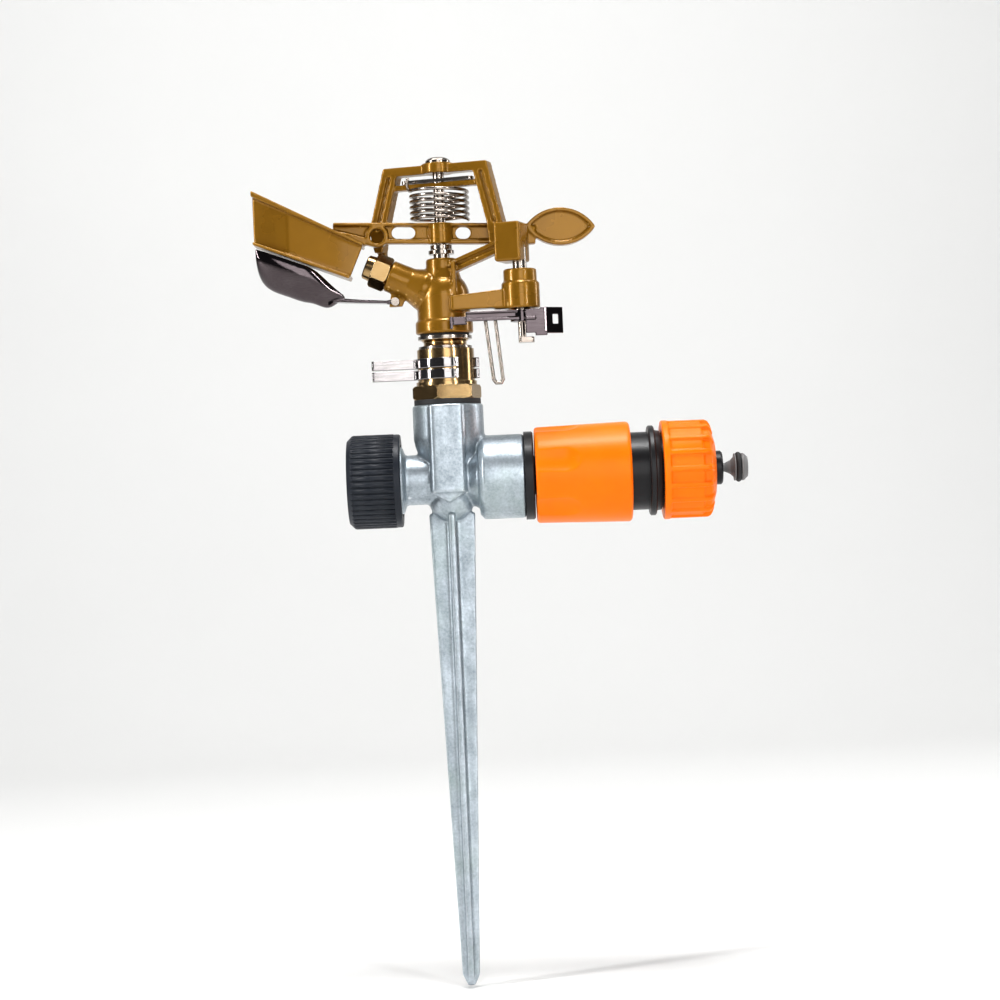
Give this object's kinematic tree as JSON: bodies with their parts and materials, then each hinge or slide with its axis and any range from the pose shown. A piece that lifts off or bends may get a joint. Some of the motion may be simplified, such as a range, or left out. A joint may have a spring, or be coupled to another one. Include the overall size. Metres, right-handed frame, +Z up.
{
  "type": "impact sprinkler",
  "caption": "Impact sprinkler head with part-circle trip and stop collars on a zinc tee with a ground spike, screw cap and click-on hose connector.",
  "frame": {"origin": "on the riser axis at the ground line, where the spike's fins meet the tee body", "axes": "+Z up along the riser axis, +X towards the hose connector, jet towards -X at rest, -Y is the front"},
  "size_m": [0.1738, 0.036, 0.298],
  "materials": {
    "zinc": "bare die-cast zinc, mottled, satin",
    "gold_paint": "glossy bronze-gold paint on die-cast zinc",
    "brass": "machined and polished",
    "steel": "bright steel",
    "chrome": "nickel-chrome plated sheet",
    "black_rubber": "matt black rubber",
    "cap_plastic": "satin blue-black moulded plastic",
    "black_plastic": "black moulded plastic",
    "orange_plastic": "bright orange moulded plastic, satin gloss",
    "grey_plastic": "grey moulded plastic",
    "white_plastic": "natural white plastic"
  },
  "bodies": {
    "ground_part": {"spike_base": "zinc", "bearing_nipple": "brass", "nipple_gasket": "black_rubber", "hose_adapter": "black_plastic", "adapter_washer": "black_rubber", "adapter_o_ring": "black_rubber"},
    "cap": {"end_cap": "cap_plastic", "end_cap_washer": "black_rubber"},
    "head": {"bearing_tube": "brass", "thrust_washer": "white_plastic", "thrust_seal": "black_rubber", "bearing_spring": "steel", "lower_washer": "steel", "neck_spacer": "brass", "upper_washer": "steel", "dust_seal": "black_rubber", "head_casting": "gold_paint", "nozzle": "brass", "fulcrum_pin": "steel", "pin_cap": "steel", "pin_spacer": "steel", "spring_retainer": "steel", "arm_spring": "steel", "deflector_rivet": "steel", "trip_pin": "steel", "trip_spring": "steel"},
    "arm": {"impact_arm": "gold_paint", "arm_bushing": "brass"},
    "spray_deflector": {"deflector": "chrome"},
    "trip": {"trip_lever": "chrome", "trip_bracket": "chrome", "trip_wire": "steel"},
    "stop_low": {"lower_collar": "chrome"},
    "stop_high": {"upper_collar": "chrome"},
    "connector": {"connector_core": "black_plastic", "retaining_claws": "white_plastic", "sleeve_spring": "steel", "hose_grip_ring": "grey_plastic"},
    "sleeve": {"connector_sleeve": "orange_plastic"},
    "nut": {"collet_nut": "orange_plastic"},
    "plunger": {"stop_plunger": "grey_plastic", "plunger_o_ring": "black_rubber"}
  },
  "joints": [
    {"name": "head_turn", "type": "hinge", "parent": "ground_part", "child": "head", "pos_m": [0, 0, 0.034], "axis": [0, 0, 1], "range_deg": [-135, 135]},
    {"name": "arm_swing", "type": "hinge", "parent": "head", "child": "arm", "pos_m": [0, 0, 0.1], "axis": [0, 0, 1], "range_deg": [0, 100], "stiffness_Nm_per_rad": 0.02, "springref_deg": -34.38},
    {"name": "deflector_tilt", "type": "hinge", "parent": "head", "child": "spray_deflector", "pos_m": [-0.0172, 0, 0.0797], "axis": [0, 1, 0], "range_deg": [-12, 0]},
    {"name": "trip_throw", "type": "hinge", "parent": "head", "child": "trip", "pos_m": [0.0278, -0.0105, 0.0736], "axis": [0, 0, 1], "range_deg": [0, 12]},
    {"name": "lower_stop_turn", "type": "hinge", "parent": "ground_part", "child": "stop_low", "pos_m": [0, 0, 0.0528], "axis": [0, 0, 1], "range_deg": [-130, 130]},
    {"name": "upper_stop_turn", "type": "hinge", "parent": "ground_part", "child": "stop_high", "pos_m": [0, 0, 0.0568], "axis": [0, 0, 1], "range_deg": [-130, 130]},
    {"name": "cap_unscrew", "type": "hinge", "parent": "ground_part", "child": "cap", "pos_m": [-0.027, 0, 0.0154], "axis": [-1, 0, 0], "range_deg": [0, 360]},
    {"name": "connector_swivel", "type": "hinge", "parent": "ground_part", "child": "connector", "pos_m": [0.045, 0, 0.0154], "axis": [1, 0, 0], "continuous": true},
    {"name": "sleeve_pull", "type": "slide", "parent": "connector", "child": "sleeve", "axis": [1, 0, 0], "range_m": [0, 0.006], "stiffness_N_per_m": 600, "springref_m": -0.004, "deforming": ["sleeve_spring"]},
    {"name": "nut_turn", "type": "hinge", "parent": "connector", "child": "nut", "pos_m": [0.085, 0, 0.0154], "axis": [1, 0, 0], "range_deg": [0, 360]},
    {"name": "plunger_travel", "type": "slide", "parent": "connector", "child": "plunger", "axis": [1, 0, 0], "range_m": [-0.004, 0]}
  ]
}
